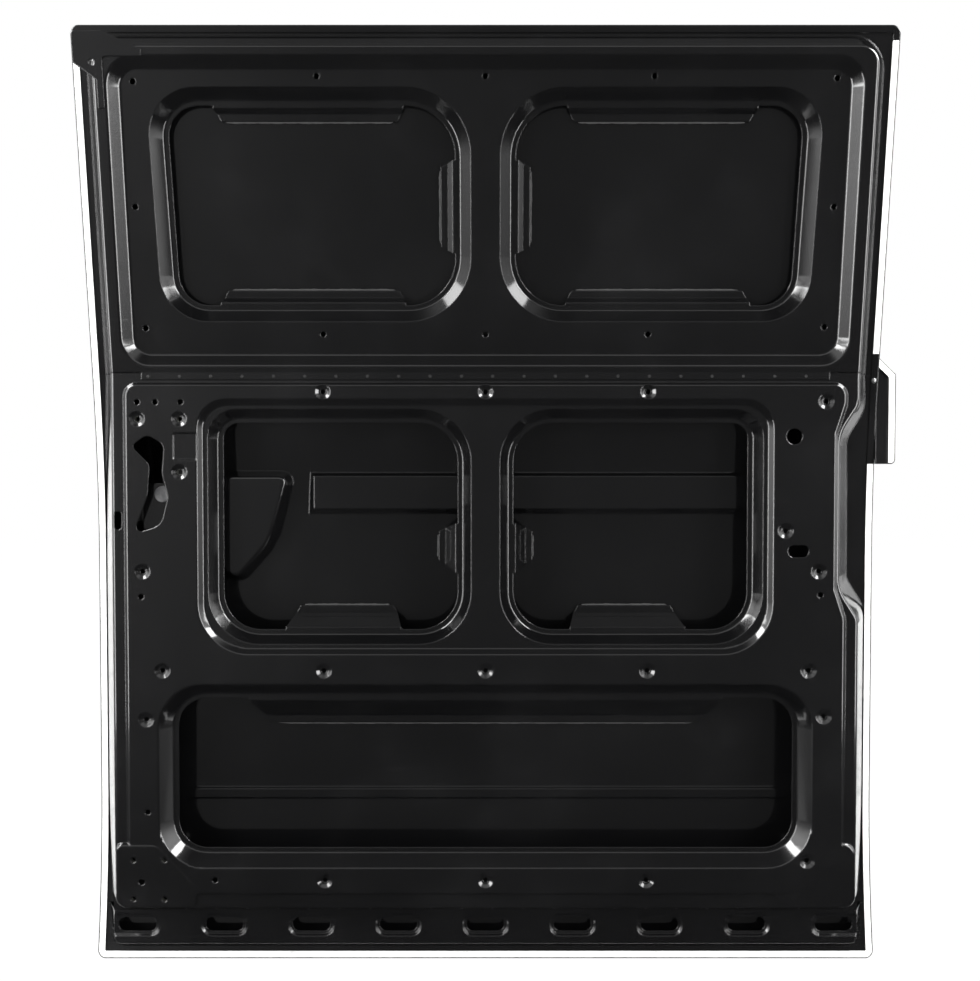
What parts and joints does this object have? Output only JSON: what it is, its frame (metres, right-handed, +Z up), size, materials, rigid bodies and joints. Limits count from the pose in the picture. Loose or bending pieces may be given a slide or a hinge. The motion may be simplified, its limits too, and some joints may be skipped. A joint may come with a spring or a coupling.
{
  "type": "van sliding door shell",
  "caption": "Bare van sliding side door shell: pressed inner panels with open access windows hemmed into a curved outer skin, slotted sill channel.",
  "frame": {"origin": "on the inner face of the lower front corner pad, in the middle of the four lower roller arm bolts", "axes": "+X towards the rear edge of the door, +Y towards the street, +Z up the door as it hangs in the van"},
  "size_m": [1.374, 0.1693, 1.562],
  "materials": {
    "black_coat": "gloss black dip primer over pressed steel",
    "hem_sealer": "white brushed seam sealer",
    "mastic": "matt anti-flutter mastic",
    "zinc_nuts": "plated weld nuts, partly coated",
    "bare_plate": "satin grey"
  },
  "bodies": {
    "root": {"outer_skin": "black_coat", "lower_inner_panel": "black_coat", "upper_inner_panel": "black_coat", "sill_channel": "black_coat", "rail_cover": "black_coat", "hem_sealer": "hem_sealer", "cover_sealer": "hem_sealer", "upper_arm_gusset": "black_coat", "lower_arm_plate": "black_coat", "lower_arm_nuts": "zinc_nuts", "latch_bracket": "black_coat", "latch_disc": "bare_plate", "latch_nuts": "zinc_nuts", "roller_bracket_plate": "black_coat", "upper_front_mastic": "mastic", "upper_rear_mastic": "mastic", "middle_front_mastic": "mastic", "middle_rear_mastic": "mastic", "lower_mastic": "mastic"}
  },
  "joints": []
}
